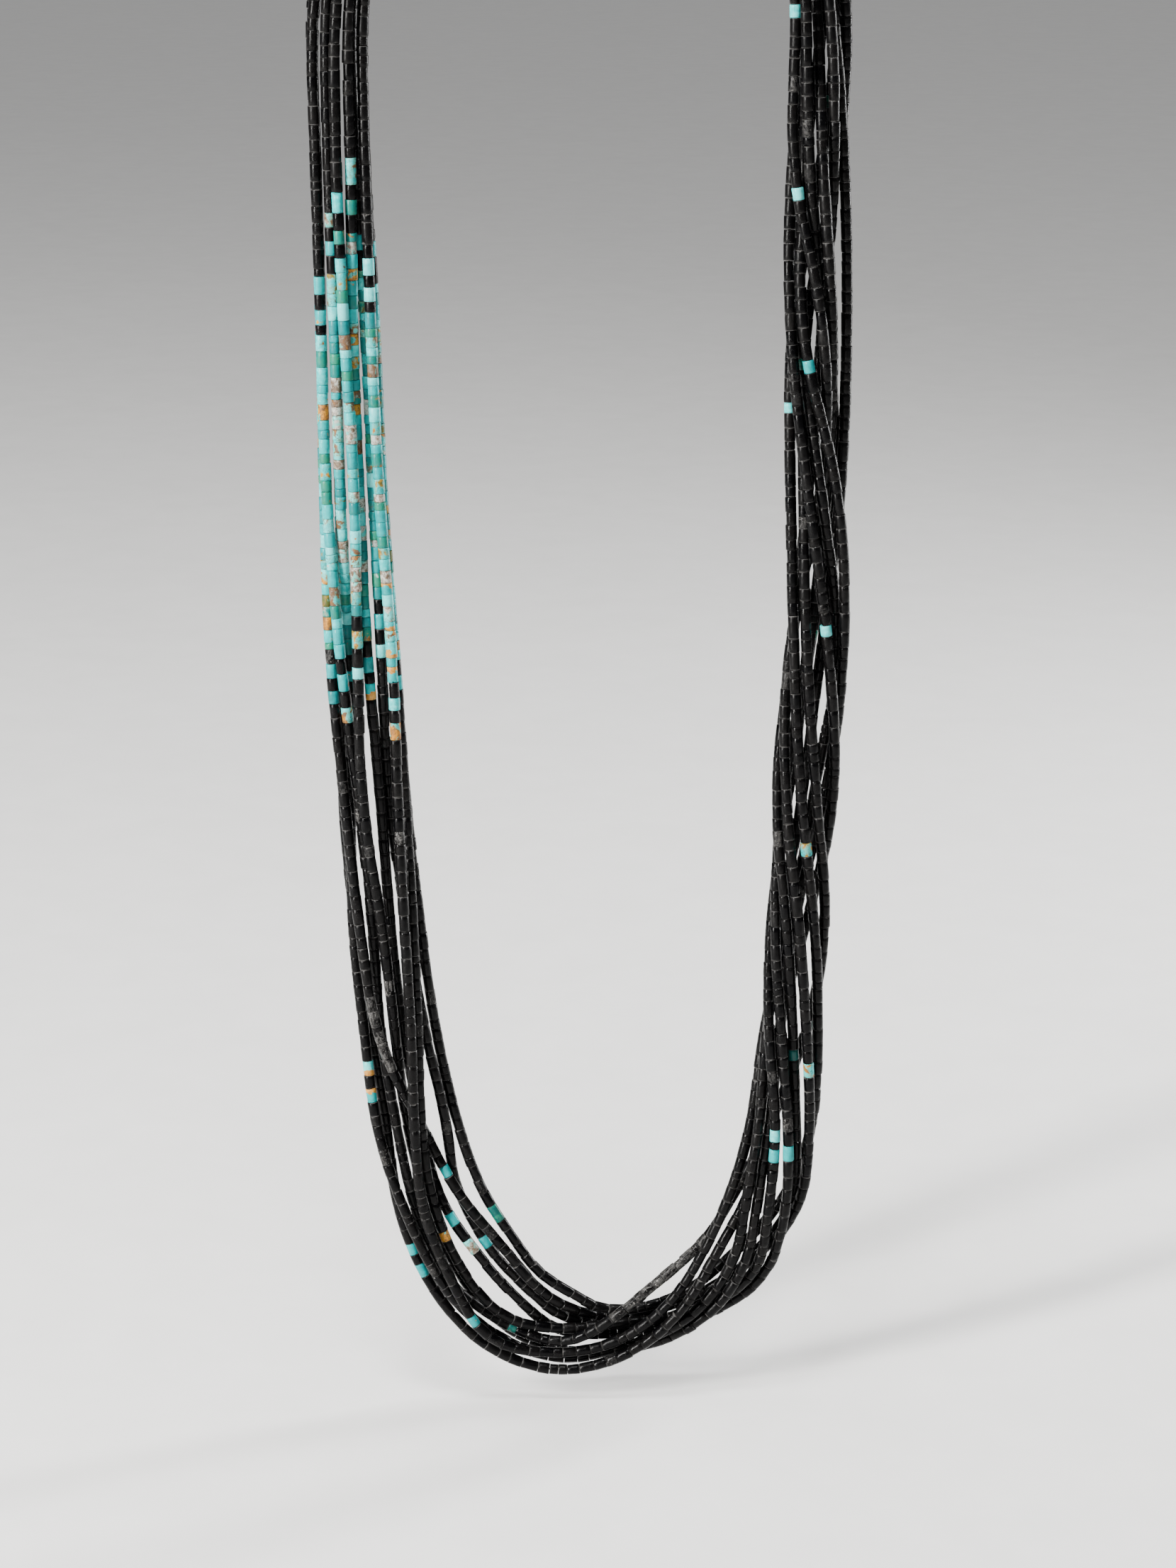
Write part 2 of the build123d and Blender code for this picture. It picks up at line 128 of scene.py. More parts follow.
SECTIONS = [
    Section("left_01", -1.000, 0.000,
            (1.0, 1.0, 1.9, 1.6, 0.2, -0.7, -1.7, -1.5, -1.1, -1.3),
            (-0.6, 1.2, 0.6, -0.4, -1.4, -1.2, -0.6, 0.5, -0.1, 1.4)),
    Section("left_02", -1.004, 0.111,
            (1.1, 0.9, 1.9, 1.7, 0.2, -0.7, -1.7, -1.5, -1.2, -1.3),
            (-0.6, 1.2, 0.6, -0.4, -1.4, -1.2, -0.7, 0.5, -0.1, 1.4)),
    Section("left_03", -1.000, 0.225,
            (0.9, 0.9, 1.9, 1.7, -0.1, -0.8, -1.9, -1.9, -1.4, -1.6),
            (-0.8, 1.2, 0.5, -0.6, -1.4, -0.6, -1.0, 0.4, -0.1, 1.3)),
    Section("left_04", -0.976, 0.341,
            (1.1, 1.2, 2.3, 2.0, -0.1, -0.7, -1.8, -2.0, -1.3, -1.6),
            (-0.8, 1.2, 0.4, -0.7, -1.5, -0.3, -1.2, 0.3, -0.6, 1.2)),
    Section("left_05", -0.951, 0.461,
            (1.2, 1.7, 2.4, 1.8, 0.3, -0.5, -2.2, -2.4, -1.4, -2.1),
            (0.4, 1.4, 0.0, -0.8, -1.5, -0.8, -1.2, 0.2, -0.7, 1.2)),
    Section("left_06", -0.920, 0.568,
            (1.8, 2.4, 2.0, 1.3, 0.7, -0.7, -2.0, -2.5, -1.1, -2.4),
            (0.7, 1.4, -0.6, -0.2, -1.5, -0.4, -1.4, 0.2, 0.3, 1.2)),
    Section("left_07", -0.869, 0.666,
            (2.7, 2.6, 2.0, 1.1, 0.3, -0.3, -1.5, -2.1, -1.7, -2.4),
            (0.6, 1.5, -0.9, -0.4, -1.3, 0.2, -1.6, -0.4, 0.5, 0.6)),
    Section("left_08", -0.822, 0.750,
            (2.7, 2.2, 1.4, 1.4, 0.4, -0.3, -1.1, -1.6, -2.2, -2.6),
            (0.0, 1.0, -1.2, 0.2, -1.0, 0.6, -1.7, -0.7, 0.2, 0.6)),
    Section("left_09", -0.761, 0.823,
            (2.9, 2.1, -0.4, 1.3, 0.7, -0.4, -0.2, -0.6, -2.6, -3.2),
            (-0.5, 0.4, 0.6, 0.0, 0.5, 1.4, -1.8, -0.9, -0.2, 0.4)),
    Section("left_10", -0.673, 0.886,
            (2.3, 2.9, -2.2, 1.6, 0.7, -0.5, 0.8, 0.0, -1.8, -3.8),
            (-1.2, -0.2, -0.3, -0.3, 0.4, 0.0, -1.8, -1.0, 0.7, 0.2)),
    Section("bottom_01", -0.537, 0.941,
            (1.9, 2.8, -3.6, 1.9, 1.0, -1.6, 1.1, 0.1, -2.5, -4.6),
            (-1.2, -0.3, -0.3, 0.0, 0.2, -0.4, -1.8, -1.0, 0.2, 0.1)),
    Section("bottom_02", -0.341, 0.979,
            (2.1, 2.7, -3.3, 1.2, 1.8, -1.5, 2.1, 0.4, -2.5, -4.2),
            (0.2, -0.8, -0.3, 0.0, 1.1, -0.2, -1.7, -0.7, 0.5, 0.3)),
    Section("bottom_03", -0.096, 1.000,
            (1.8, 2.4, -2.3, 0.0, 1.6, -0.5, 0.9, -0.7, -1.4, -4.0),
            (-0.2, -1.2, 0.4, -0.9, 0.8, 0.8, -0.9, -0.3, 0.4, 0.2)),
    Section("bottom_04", 0.167, 0.993,
            (1.5, 1.9, -0.3, -1.4, 2.2, 0.6, 0.6, -0.4, 0.7, -1.4),
            (-0.2, -1.2, 1.1, -1.4, 0.7, 0.3, -1.1, 0.1, 1.5, 0.6)),
    Section("bottom_05", 0.414, 0.965,
            (2.1, 1.1, 1.7, -1.7, 3.0, 3.4, 0.2, 2.5, 2.7, 0.8),
            (-1.0, -1.5, 1.2, -0.6, -0.3, 0.7, -1.4, 0.5, 1.5, 0.7)),
    Section("bottom_06", 0.624, 0.927,
            (1.3, 0.2, 3.3, -1.1, 2.5, 4.3, -0.8, 3.7, 3.0, 2.0),
            (-0.4, -1.2, 0.7, 0.2, -0.8, 0.8, -0.8, -0.3, 1.7, 1.1)),
    Section("bottom_07", 0.778, 0.880,
            (-0.6, 0.3, 3.8, -0.7, 0.6, 2.9, -1.5, 1.5, 3.7, 3.6),
            (-0.9, 0.0, 0.3, 1.0, -1.0, -0.4, -0.4, -1.3, 0.8, 1.2)),
    Section("right_09", 0.902, 0.823,
            (-1.5, -0.8, 2.2, -0.2, -0.7, 0.6, -2.1, -0.3, 1.6, 2.9),
            (-0.7, 0.5, -0.4, 1.4, -0.2, -1.2, 0.2, -1.0, -0.2, 0.8)),
    Section("right_08", 0.965, 0.750,
            (-1.8, -1.0, 0.9, 1.2, -1.3, -1.2, -2.2, -1.7, -0.2, 1.9),
            (0.3, 1.2, -1.0, 1.3, 0.5, -0.9, 0.9, -0.6, -0.6, 0.0)),
    Section("right_07", 0.990, 0.666,
            (-1.4, 0.4, -0.3, 1.9, -0.6, -1.9, -0.6, -2.0, -1.3, 1.0),
            (1.1, 1.5, -1.4, 0.3, 0.8, -0.3, 1.2, 0.4, -0.9, -0.9)),
    Section("right_06", 1.004, 0.568,
            (-0.4, 1.8, -1.7, 0.7, 1.6, -1.8, 0.8, -1.1, -2.0, -0.5),
            (1.3, 0.2, -0.9, -1.1, 1.1, 0.8, 1.4, 1.2, -0.1, -1.4)),
    Section("right_05", 1.018, 0.461,
            (0.9, 1.2, -1.8, -0.5, 2.0, -0.5, 1.8, 0.1, -1.2, -1.4),
            (0.8, -0.9, 0.1, -1.3, 0.0, 0.3, 1.0, 1.3, 1.0, -0.8)),
    Section("right_04", 1.024, 0.341,
            (1.8, -0.4, 0.4, -1.0, 1.1, 0.7, 0.5, 1.6, -0.3, -1.9),
            (0.5, -1.3, 0.0, -0.4, -0.4, 1.1, -1.2, 1.5, 0.8, 0.0)),
    Section("right_03", 1.027, 0.225,
            (1.9, -1.9, 0.1, -1.0, -1.0, 0.5, -1.2, -0.4, 0.4, -2.1),
            (0.6, -0.7, -1.5, 1.2, -0.9, -0.3, 0.1, 0.1, 0.8, 0.5)),
    Section("right_02", 1.016, 0.111,
            (1.6, -1.6, -1.9, 1.3, -0.6, -0.3, -1.0, -1.0, 0.5, 0.0),
            (0.0, 0.6, -0.8, 1.1, 0.4, -1.3, 1.5, -0.6, -0.5, 1.5)),
    Section("right_01", 1.002, 0.000,
            (0.8, -0.5, -1.6, 1.7, -1.2, -0.4, 0.2, -0.9, 0.0, 1.1),
            (0.0, 1.2, -0.6, 0.3, 0.5, -0.1, 1.2, -1.2, -1.0, 1.1)),
]

# How the strands are pushed apart: samples on each run, steps ahead and behind that are compared,
# the share of the push that a round makes, and the number of rounds
SAMPLE_PLACES = (-0.5, -0.375, -0.25, -0.125, 0.0, 0.125, 0.25, 0.375)
COMPARED_STEPS = (-4, -3, -2, -1, 0, 1, 2, 3, 4)
PUSH_SHARE = 0.05
PUSH_ROUNDS = 400

# Where the strands leave the cups and the top of the loop comes
barrel_height = barrel_diameter / 2
mouth_x = barrel_length / 2 + cone_length * math.cos(cone_tilt)
mouth_z = barrel_height - cone_length * math.sin(cone_tilt)
exit_x = mouth_x + exit_run * math.cos(cone_tilt)
exit_z = mouth_z - exit_run * math.sin(cone_tilt)
seat_depth = cup_depth - end_gap
seat_x = mouth_x - seat_depth * math.cos(cone_tilt)
seat_z = mouth_z + seat_depth * math.sin(cone_tilt)
leg_top_z = exit_z - math.sqrt(loop_half_width ** 2 - exit_x ** 2)
shoulder_angle = (math.asin(exit_x / loop_half_width) + math.radians(90)) / 2
shoulder_x = loop_half_width * math.sin(shoulder_angle)
shoulder_z = leg_top_z + loop_half_width * math.cos(shoulder_angle)


def bundle_table():
    """The middle of the bundle at every section, and the strands' places out and deep, in pitches."""
    first = SECTIONS[0]
    last = SECTIONS[-1]
    left_shoulder_out = [(a + b) / 2 for a, b in zip(CUP_PACK_LEFT_OUT, first.out)]
    left_shoulder_deep = [(a + b) / 2 for a, b in zip(CUP_PACK_LEFT_DEEP, first.deep)]
    right_shoulder_out = [(a + b) / 2 for a, b in zip(CUP_PACK_RIGHT_OUT, last.out)]
    right_shoulder_deep = [(a + b) / 2 for a, b in zip(CUP_PACK_RIGHT_DEEP, last.deep)]
    rows = [
        (-seat_x, seat_z, CUP_PACK_LEFT_OUT, CUP_PACK_LEFT_DEEP),
        (-exit_x, exit_z, CUP_PACK_LEFT_OUT, CUP_PACK_LEFT_DEEP),
        (-shoulder_x, shoulder_z, left_shoulder_out, left_shoulder_deep),
    ]
    for section in SECTIONS:
        x = section.across * loop_half_width
        z = leg_top_z - section.down * leg_drop
        rows.append((x, z, section.out, section.deep))
    rows.append((shoulder_x, shoulder_z, right_shoulder_out, right_shoulder_deep))
    rows.append((exit_x, exit_z, CUP_PACK_RIGHT_OUT, CUP_PACK_RIGHT_DEEP))
    rows.append((seat_x, seat_z, CUP_PACK_RIGHT_OUT, CUP_PACK_RIGHT_DEEP))
    middles = np.array([(x, 0.0, z) for x, z, _, _ in rows])
    out = np.array([row[2] for row in rows])
    deep = np.array([row[3] for row in rows])
    return middles, out, deep


def section_directions(middles):
    """The way along the bundle at every section, and the way outwards across it."""
    along = np.empty_like(middles)
    along[1:-1] = middles[2:] - middles[:-2]
    along[0] = along[1] = middles[1] - middles[0]
    along[-1] = along[-2] = middles[-1] - middles[-2]
    along /= np.linalg.norm(along, axis=1)[:, None]
    outward = np.stack([along[:, 2], np.zeros(len(along)), -along[:, 0]], axis=1)
    return along, outward


def smoothing_shares(count):
    """The share of each point in each sample of the smooth line that cuts inside their corners."""
    rows = []
    for point in range(1, count - 1):
        for place in SAMPLE_PLACES:
            row = np.zeros(count)
            row[point - 1] = (0.5 - place) ** 2 / 2
            row[point] = 0.75 - place ** 2
            row[point + 1] = (0.5 + place) ** 2 / 2
            rows.append(row)
    return np.array(rows)


def push_apart(routes, along):
    """Push strands that lie closer than one pitch away from each other, across the bundle, in small steps."""
    shares = smoothing_shares(len(along))
    strands = len(routes)
    itself = np.eye(strands)[:, :, None] * 2 * strand_pitch
    for _ in range(PUSH_ROUNDS):
        samples = shares @ routes
        push = np.zeros_like(samples)
        for step in COMPARED_STEPS:
            others = np.roll(samples, step, axis=1)
            apart = samples[:, None] - others[None, :]
            distance = np.linalg.norm(apart, axis=-1) + itself
            lack = np.clip(strand_pitch - distance, 0, None)
            push += (apart * (lack / distance)[..., None]).sum(axis=1)
        move = shares.T @ push * PUSH_SHARE
        move -= (move * along).sum(axis=-1, keepdims=True) * along
        routes[:, 2:-2] += move[:, 2:-2]
    return routes


def strand_routes():
    """The points of each strand, from the left cup down the left leg and up to the right cup."""
    middles, out, deep = bundle_table()
    along, outward = section_directions(middles)
    into = np.array([0.0, 1.0, 0.0])
    routes = np.array([
        middles + strand_pitch * (out[:, n, None] * outward + deep[:, n, None] * into)
        for n in range(out.shape[1])
    ])
    neighbours = (routes[:, 1:-3] + routes[:, 3:-1]) / 2
    routes[:, 2:-2] += corner_lead * (routes[:, 2:-2] - neighbours)
    return push_apart(routes, along)


# Smooth centre lines, each read from the route's spline
SPLINE_STEPS = 24


def spline_points(name, route):
    """Close points along the smooth curve that has the route's points as its control points."""
    curve = bpy.data.curves.new(name, "CURVE")
    curve.dimensions = "3D"
    curve.resolution_u = SPLINE_STEPS
    spline = curve.splines.new("NURBS")
    spline.points.add(len(route) - 1)
    for point, place in zip(spline.points, route * MM):
        point.co = (*place, 1.0)
    spline.order_u = 3
    spline.use_endpoint_u = True
    holder = bpy.data.objects.new(name, curve)
    bpy.context.scene.collection.objects.link(holder)
    bpy.context.view_layer.update()
    mesh = bpy.data.meshes.new_from_object(holder)
    places = np.empty(len(mesh.vertices) * 3)
    mesh.vertices.foreach_get("co", places)
    bpy.data.objects.remove(holder)
    bpy.data.curves.remove(curve)
    bpy.data.meshes.remove(mesh)
    return places.reshape(-1, 3)


class Line:
    """A strand's centre line, with the length along it, where it lies in the photograph and its bend."""

    def __init__(self, points):
        self.points = points
        steps = np.linalg.norm(np.diff(points, axis=0), axis=1)
        self.along = np.concatenate([[0.0], np.cumsum(steps)])
        self.length = self.along[-1]
        self.pixels = photo_pixels(points)
        ways = np.gradient(points, axis=0)
        ways /= np.linalg.norm(ways, axis=1)[:, None]
        self.bend = np.gradient(ways, axis=0) / np.gradient(self.along)[:, None]

    def at(self, distance):
        return np.array([np.interp(distance, self.along, self.points[:, axis]) for axis in range(3)])

    def bend_at(self, distance):
        """How sharply the line turns, towards the side that it turns to."""
        return np.array([np.interp(distance, self.along, self.bend[:, axis]) for axis in range(3)])

    def nearest(self, across, down):
        """The length along the line whose place in the photograph lies nearest a pixel."""
        gap = np.linalg.norm(self.pixels - np.array([across, down]), axis=1)
        return float(self.along[int(gap.argmin())])

    def left_leg_at_row(self, row):
        """The length along the line where it passes a row of the photograph on the left leg."""
        left = (self.pixels[:, 0] < PHOTO_WIDTH / 2) & (self.points[:, 2] < leg_top_z * MM)
        return float(np.interp(row, self.pixels[left, 1], self.along[left]))


lines = [
    Line(spline_points(f"line_{number:02d}", route))
    for number, route in enumerate(strand_routes(), start=1)
]


# What each bead of a strand is; the dull kind is turquoise painted dark green as painted shade, for beads in
# the shadow of the strands in front
(
    JET, WORN, SKY, CYAN, TEAL, GREEN, PAINTED_SHADE, PLAIN, MIXED,
    SPOTTED, MOTTLED, MARBLED, BROWN, GOLDEN, GOLD_BELOW, GOLD_ABOVE,
) = range(16)
DARK_KINDS = (JET, WORN)

# The pattern on the left leg, read from the photograph by its rows, strand by strand from the top. Above
# the long turquoise stretch, turquoise starts at the first row, jet and turquoise take turns at each row
# after it, and the stretch starts at the last. Below, the stretch ends and jet starts at the first row, and
# they take turns in the same way. The kinds are those of the turquoise beads there, from the top.
PATTERN_ABOVE = [
    (300, 320, 340, 360, 386),
    (292, 312, 348),
    (374, 392, 430),
    (390, 415, 437, 458, 472),
    (271, 300, 325, 344, 364),
    (222, 260, 281, 302, 328),
    (364, 388, 405, 425, 440),
    (340, 362, 400),
    (330, 352, 381),
    (276, 298, 330),
]
PATTERN_BELOW = [
    (922, 945, 960),
    (904, 926, 945),
    (915, 936, 956, 974, 992),
    (928, 950, 974, 997, 1018),
    (868, 889, 914, 941, 957),
    (903, 926, 948, 963, 986),
    (962, 984, 1001, 1019, 1043),
    (930, 952, 972),
    (844, 865, 886, 908, 926),
    (902, 925, 944),
]
KINDS_ABOVE = [
    (MOTTLED, CYAN), (SKY,), (CYAN,), (CYAN, CYAN), (SKY, GREEN),
    (MOTTLED, GREEN), (SKY, SKY), (CYAN,), (CYAN,), (SKY,),
]
KINDS_BELOW = [
    (CYAN,), (TEAL,), (CYAN, TEAL), (CYAN, MOTTLED), (SPOTTED, SKY),
    (TEAL, GOLD_BELOW), (SKY, GOLDEN), (CYAN,), (CYAN, SKY), (TEAL,),
]

# Beads that stand out in the long stretch of the front strands, by the strand's number: first row, last
# row and kind. Plain ones fill what lies between, and the strands behind take a mixture.
STANDING_OUT = {
    1: (
        (387, 414, SPOTTED), (414, 432, MOTTLED), (432, 452, SKY), (532, 553, BROWN), (563, 573, BROWN),
        (573, 586, MARBLED), (586, 605, MARBLED), (605, 623, MOTTLED), (623, 648, MOTTLED),
        (648, 661, BROWN), (661, 674, CYAN), (718, 745, MOTTLED), (762, 773, BROWN), (773, 792, MARBLED),
        (808, 821, SPOTTED), (880, 900, TEAL),
    ),
    4: (
        (472, 495, SKY), (495, 518, GREEN), (570, 592, GOLDEN), (653, 677, SPOTTED), (677, 693, GREEN),
        (693, 711, GREEN), (731, 751, MOTTLED), (751, 771, CYAN), (782, 793, MOTTLED), (804, 827, CYAN),
        (827, 854, MOTTLED), (854, 872, GREEN), (886, 908, CYAN), (908, 928, CYAN),
    ),
    5: (
        (364, 384, SKY), (384, 409, SPOTTED), (409, 427, GREEN), (427, 452, SKY), (472, 493, BROWN),
        (493, 505, SKY), (505, 523, CYAN), (567, 581, MOTTLED), (599, 626, MARBLED), (661, 674, SPOTTED),
        (674, 693, CYAN), (693, 708, MARBLED), (708, 725, TEAL), (725, 748, CYAN), (748, 766, SKY),
        (783, 799, MOTTLED), (799, 820, BROWN), (820, 834, MARBLED), (834, 853, SPOTTED),
    ),
    6: (
        (328, 340, GREEN), (340, 358, MARBLED), (358, 378, CYAN), (378, 395, GOLDEN), (395, 416, CYAN),
        (435, 455, CYAN), (455, 470, MOTTLED), (470, 486, GOLDEN), (486, 502, SKY), (502, 520, SPOTTED),
        (550, 560, BROWN), (569, 584, GOLDEN), (620, 640, BROWN), (700, 722, MARBLED), (741, 762, MARBLED),
        (790, 806, MARBLED),
    ),
    7: (
        (440, 463, TEAL), (463, 475, GREEN), (475, 490, MOTTLED), (490, 502, SKY), (513, 532, BROWN),
        (557, 574, GREEN), (574, 595, SKY), (595, 613, SPOTTED), (613, 627, MARBLED), (627, 639, CYAN),
        (639, 658, GREEN), (658, 675, CYAN), (675, 696, SPOTTED), (696, 708, MARBLED), (719, 736, CYAN),
        (736, 756, CYAN), (756, 772, GREEN), (772, 788, SPOTTED), (788, 804, SKY), (804, 822, BROWN),
        (822, 838, GOLD_ABOVE), (838, 854, SKY), (854, 876, MARBLED), (876, 889, GOLD_BELOW),
        (889, 904, MOTTLED), (904, 927, GOLD_BELOW), (927, 940, CYAN), (940, 962, GOLD_ABOVE),
    ),
}

# Single beads elsewhere, by the strand's number: the pixel across and down, the length and the kind. The dull
# ones are turquoise darkened as painted shade, for beads in the shadow of the strands in front
ACCENTS = {
    1: ((520, 1504, 3.3, GOLD_BELOW), (524, 1543, 3.2, GOLD_ABOVE)),
    2: ((577, 1760, 2.8, CYAN), (592, 1790, 3.2, CYAN), (1167, 889, 2.4, SKY)),
    3: (
        (523, 1418, 3.4, WORN), (531, 1441, 3.0, WORN), (538, 1460, 2.8, WORN), (545, 1481, 3.2, WORN),
        (551, 1502, 3.0, WORN), (627, 1653, 2.7, CYAN), (1140, 1507, 3.2, MOTTLED), (1126, 272, 2.6, SKY),
        (1126, 14, 2.7, SKY),
    ),
    4: ((516, 1145, 3.0, WORN), (722, 1879, 2.0, PAINTED_SHADE), (1126, 1437, 2.2, PAINTED_SHADE), (1175, 265, 2.2, PAINTED_SHADE)),
    5: ((578, 1390, 3.4, WORN), (1152, 516, 2.7, CYAN)),
    6: ((638, 1720, 3.1, CYAN), (663, 1757, 3.6, MARBLED), (1116, 1628, 3.6, CYAN)),
    7: ((563, 1180, 2.8, WORN), (672, 1860, 2.6, CYAN), (1137, 515, 2.4, PAINTED_SHADE)),
    8: (
        (475, 95, 2.4, WORN), (625, 1742, 2.4, GOLDEN), (1096, 1632, 3.0, CYAN), (1096, 1601, 2.8, SKY),
        (1152, 893, 2.2, PAINTED_SHADE),
    ),
    9: ((683, 1752, 2.8, CYAN), (1121, 1487, 2.6, PAINTED_SHADE)),
    10: (
        (600, 1405, 3.2, WORN), (695, 1715, 4.2, PAINTED_SHADE), (1142, 1194, 3.0, SPOTTED), (1124, 574, 2.2, SKY),
        (1163, 140, 2.6, PAINTED_SHADE),
    ),
}

# Stretches where the jet is worn greyer, by the strand's number: the pixels where one starts and ends
WORN_STRETCHES = {
    4: ((862, 1862), (995, 1748)),
}

# The beads' mean lengths, how much they differ and the least one, as shares of them, and the share of a
# bead under which a rest is too small for one
JET_LENGTH = 3.0
TURQUOISE_LENGTH = 2.45
LENGTH_SPREAD = 0.24
LEAST_LENGTH = 0.55
SMALL_REST = 0.3

# Their radii, the hole through them, and the rounding of the rims with the range of shares that it takes
BEAD_RADIUS = 1.185
RADIUS_SPREAD = 0.045
LEAST_RADIUS = 1.07
LARGEST_RADIUS = 1.24
HOLE_RADIUS = 0.42
RIM = 0.07
RIM_SHARES = (0.6, 1.5)

# The gap between two beads, and the share of a bend that their ends are mitred by
JOINT_GAP = 0.05
MITRE_SHARE = 0.75

# How uneven they are: the most of their play that they lie off the line, how oval and how tapered they
# are, and the slope of their ends. Two ends that slope the most towards each other still clear in the gap.
OFF_LINE = 0.9
LARGEST_OVAL = 0.012
TAPER_SPREAD = 0.008
SLOPE_SPREAD = 0.016
LARGEST_SLOPE = 0.019

# Chipped ends: the share of ends, the depth, the half width in radians, and the share of the depth that
# is left where the chip ends
CHIPPED_SHARE = 0.22
CHIP_DEPTHS = (0.12, 0.4)
CHIP_WIDTHS = (0.35, 0.9)
CHIP_END = 0.35

# A bead's rings of points, from the hole at one end, over the outside, to the hole at the other: the end that
# each is mitred with, those at the rims, those with a smooth strip after them, and the share of half the
# bead's length at which the middle two lie
RING_ENDS = (-1, -1, -1, 0, 0, 1, 1, 1)
RIM_RINGS = (1, 2, 5, 6)
SMOOTH_RINGS = (2, 3, 4, 7)
MIDDLE_RING_PLACE = 0.36
SIDES = 18
BEAD_POINTS = len(RING_ENDS) * SIDES

# How far off the beads' grain may be taken, so that no two are alike
GRAIN_REACH = 400

# The thread, which follows every second point of the line
THREAD_RADIUS = 0.24
THREAD_SIDES = 8
THREAD_STEP = 2


class Bead(NamedTuple):
    """A bead's two ends, in metres along its strand's line, and its kind."""
    start: float
    end: float
    kind: int


def fill(start, end, kind, dice):
    """Beads of uneven length that fill a stretch of line."""
    mean = (JET_LENGTH if kind == JET else TURQUOISE_LENGTH) * MM
    count = max(1, round((end - start) / mean))
    sizes = [max(LEAST_LENGTH, dice.gauss(1.0, LENGTH_SPREAD)) for _ in range(count)]
    share = (end - start) / sum(sizes)
    beads = []
    for size in sizes:
        beads.append(Bead(start, start + size * share, kind))
        start += size * share
    return beads


def long_stretch(number, line, start, end, dice):
    """The beads of a strand's long turquoise stretch."""
    if number not in STANDING_OUT:
        return fill(start, end, MIXED, dice)
    beads = []
    for first_row, last_row, kind in STANDING_OUT[number]:
        place = line.left_leg_at_row(first_row)
        if place - start > SMALL_REST * TURQUOISE_LENGTH * MM:
            beads += fill(start, place, PLAIN, dice)
        else:
            place = start
        start = line.left_leg_at_row(last_row)
        beads.append(Bead(place, start, kind))
    if end - start > SMALL_REST * TURQUOISE_LENGTH * MM:
        return beads + fill(start, end, PLAIN, dice)
    beads[-1] = beads[-1]._replace(end=end)
    return beads


def strand_beads(number, line, dice):
    """All the beads of one strand, from the left cup to the right one."""
    above = [line.left_leg_at_row(row) for row in PATTERN_ABOVE[number - 1]]
    below = [line.left_leg_at_row(row) for row in PATTERN_BELOW[number - 1]]
    fixed = []
    for place, (start, end) in enumerate(zip(above, above[1:])):
        kind = JET if place % 2 else KINDS_ABOVE[number - 1][place // 2]
        fixed.append(Bead(start, end, kind))
    stretch = long_stretch(number, line, above[-1], below[0], dice)
    for place, (start, end) in enumerate(zip(below, below[1:])):
        kind = KINDS_BELOW[number - 1][place // 2] if place % 2 else JET
        fixed.append(Bead(start, end, kind))
    for across, down, length, kind in ACCENTS.get(number, ()):
        middle = line.nearest(across, down)
        fixed.append(Bead(middle - length * MM / 2, middle + length * MM / 2, kind))
    fixed = sorted(fixed + stretch)
    beads = []
    reached = 0.0
    for bead in fixed:
        if bead.start - reached > SMALL_REST * JET_LENGTH * MM:
            beads += fill(reached, bead.start, JET, dice)
        else:
            bead = bead._replace(start=reached)
        beads.append(bead)
        reached = bead.end
    return beads + fill(reached, line.length, JET, dice)


def unit(vectors):
    return vectors / np.linalg.norm(vectors, axis=-1, keepdims=True)


def ways_round(ways):
    """For each way along a line: its unit vector, one across it, and one across both."""
    axis = unit(ways)
    side = unit(np.cross(axis, (0.0, 1.0, 0.0)))
    return axis, side, np.cross(axis, side)


def corner_angles(sides):
    return np.arange(sides) * 2 * math.pi / sides


def chips(turned, rng):
    """How deep each bead's end is chipped at each of its corners. Most ends have no chip."""
    count = len(turned)
    chipped = rng.uniform(0, 1, count) < CHIPPED_SHARE
    depth = (chipped * rng.uniform(*CHIP_DEPTHS, count) * MM)[:, None]
    place = rng.uniform(0, 2 * math.pi, count)[:, None]
    width = rng.uniform(*CHIP_WIDTHS, count)[:, None]
    off = (turned - place + math.pi) % (2 * math.pi) - math.pi
    return depth * np.clip(1 - (off / width) ** 2, 0, 1)


def bead_rings(radius, half, rng):
    """How far out and how far along the corners of each bead's rings lie."""
    count = len(radius)
    turned = corner_angles(SIDES)[None, :] + rng.uniform(0, 2 * math.pi, count)[:, None]
    oval = rng.uniform(0, LARGEST_OVAL, count)[:, None] * np.cos(2 * turned)
    rim = (RIM * MM * rng.uniform(*RIM_SHARES, count))[:, None]
    taper = rng.normal(0, TAPER_SPREAD, count)[:, None]
    rings = []
    for end in (-1, 1):
        slope = np.clip(rng.normal(0, SLOPE_SPREAD, count), -LARGEST_SLOPE, LARGEST_SLOPE)[:, None]
        uphill = np.cos(turned - rng.uniform(0, 2 * math.pi, count)[:, None])
        chip = chips(turned, rng)
        outer = radius[:, None] * (1 + oval + end * taper)
        hole = np.full_like(outer, HOLE_RADIUS * MM)
        flat = end * half[:, None] + np.zeros_like(outer)
        group = [
            (hole, flat + slope * hole * uphill),
            (outer - rim - chip, flat + slope * outer * uphill),
            (outer - CHIP_END * chip, flat - end * (rim + chip) + slope * outer * uphill),
            (outer, flat * MIDDLE_RING_PLACE),
        ]
        rings += group if end == -1 else group[::-1]
    across = np.stack([ring[0] for ring in rings], axis=1)
    lengthwise = np.stack([ring[1] for ring in rings], axis=1)
    return across, lengthwise


def on_rings(chosen):
    """For each point of one bead, whether its ring is a chosen one."""
    return np.repeat(np.isin(np.arange(len(RING_ENDS)), chosen), SIDES)


